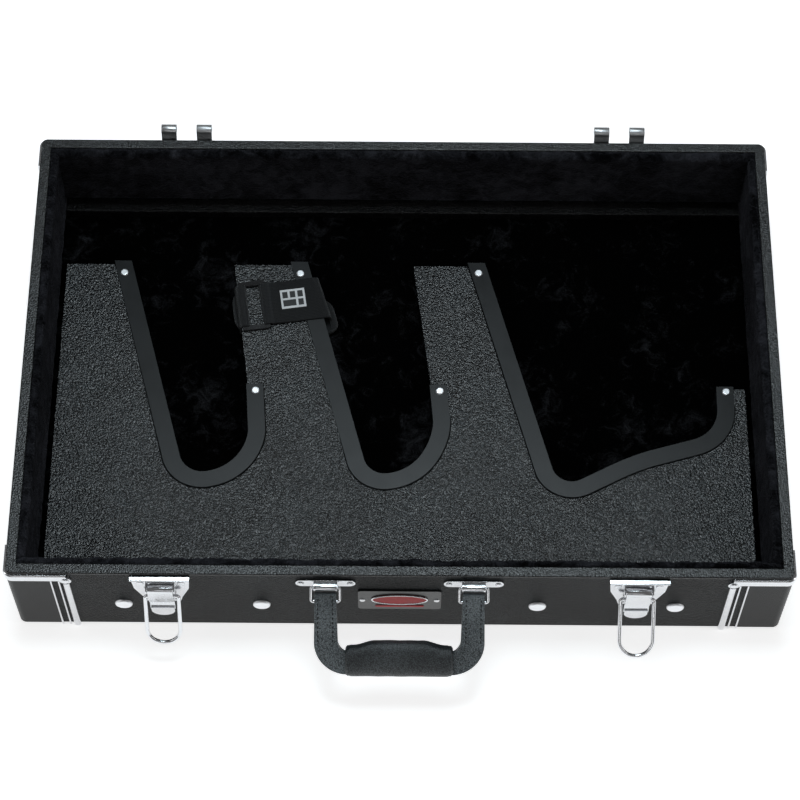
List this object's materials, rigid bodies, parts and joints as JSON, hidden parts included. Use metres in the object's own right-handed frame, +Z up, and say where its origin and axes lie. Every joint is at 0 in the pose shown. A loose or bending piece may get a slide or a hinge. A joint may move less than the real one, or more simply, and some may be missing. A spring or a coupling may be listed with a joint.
{
  "type": "pedalboard case",
  "caption": "Shallow plush-lined case half with a fold-up slotted panel for standing guitars, carrying handle, draw latches and lift-off lid hinges.",
  "frame": {"origin": "middle of the case's bottom face", "axes": "+X along the length (left to right seen from the handle), +Y from the handle side to the lid-hinge side, +Z up out of the open case"},
  "size_m": [0.7048, 0.5425, 0.123],
  "materials": {
    "vinyl": "matte pebble-grain leatherette",
    "plush": "deep black plush pile",
    "trim": "satin black folded vinyl strip",
    "wood": "bare plywood batten, stained dark",
    "chrome": "bright nickel-chrome plate",
    "steel": "zinc-plated steel",
    "webbing": "smooth black webbing",
    "ring": "moulded black acetal",
    "patch": "white woven label with a plain pattern",
    "handle": "stitched black leatherette",
    "plate": "satin black plate",
    "emblem": "red enamel oval with a plain silver bar"
  },
  "bodies": {
    "case": {"case_bottom": "vinyl", "front_wall": "vinyl", "back_wall": "vinyl", "left_wall": "vinyl", "right_wall": "vinyl", "lining_floor": "plush", "lining_front": "plush", "lining_back": "plush", "lining_left": "plush", "lining_right": "plush", "rear_ledge": "vinyl", "hinge_batten": "wood", "rest_cleats": "wood", "stand_hinge_fixed_leaf": "steel", "stand_hinge_pin": "steel", "hinge_screws_fixed": "steel", "corner_patches": "vinyl", "corner_rails": "chrome", "corner_uprights": "chrome", "corner_beads": "chrome", "corner_rivets": "chrome", "latch_base_left": "chrome", "latch_base_right": "chrome", "latch_pin_left": "steel", "latch_pin_right": "steel", "latch_rivets": "chrome", "handle_brackets": "chrome", "bracket_rivets": "chrome", "nameplate": "plate", "nameplate_emblem": "emblem", "nameplate_screws": "plate", "front_cap_rivets": "chrome", "rear_hinge_left": "chrome", "rear_hinge_right": "chrome", "rear_hinge_rivets": "chrome"},
    "stand": {"stand_panel": "vinyl", "slot_trim_1": "trim", "slot_trim_2": "trim", "slot_trim_3": "trim", "trim_rivets": "chrome", "stand_hinge_moving_leaf": "steel", "hinge_screws_moving": "steel", "finger_strap": "webbing", "strap_ring": "ring", "strap_patch": "patch"},
    "handle": {"handle_rings": "chrome", "handle_strap": "handle", "handle_grip": "handle", "handle_core": "steel"},
    "lever_left": {"latch_lever_left": "chrome"},
    "lever_right": {"latch_lever_right": "chrome"},
    "bail_left": {"latch_bail_left": "chrome"},
    "bail_right": {"latch_bail_right": "chrome"}
  },
  "joints": [
    {"name": "stand_fold", "type": "hinge", "parent": "case", "child": "stand", "pos_m": [0, -0.201, 0.0245], "axis": [1, 0, 0], "range_deg": [0, 90]},
    {"name": "handle_swing", "type": "hinge", "parent": "case", "child": "handle", "pos_m": [0, -0.234, 0.098], "axis": [-1, 0, 0], "range_deg": [-36, 120]},
    {"name": "lever_left_swing", "type": "hinge", "parent": "case", "child": "lever_left", "pos_m": [-0.213, -0.2355, 0.0945], "axis": [-1, 0, 0], "range_deg": [0, 140]},
    {"name": "lever_right_swing", "type": "hinge", "parent": "case", "child": "lever_right", "pos_m": [0.213, -0.2355, 0.0945], "axis": [-1, 0, 0], "range_deg": [0, 140]},
    {"name": "bail_left_swing", "type": "hinge", "parent": "lever_left", "child": "bail_left", "pos_m": [-0.213, -0.2345, 0.077], "axis": [1, 0, 0], "range_deg": [-140, 20]},
    {"name": "bail_right_swing", "type": "hinge", "parent": "lever_right", "child": "bail_right", "pos_m": [0.213, -0.2345, 0.077], "axis": [1, 0, 0], "range_deg": [-120, 40]}
  ]
}
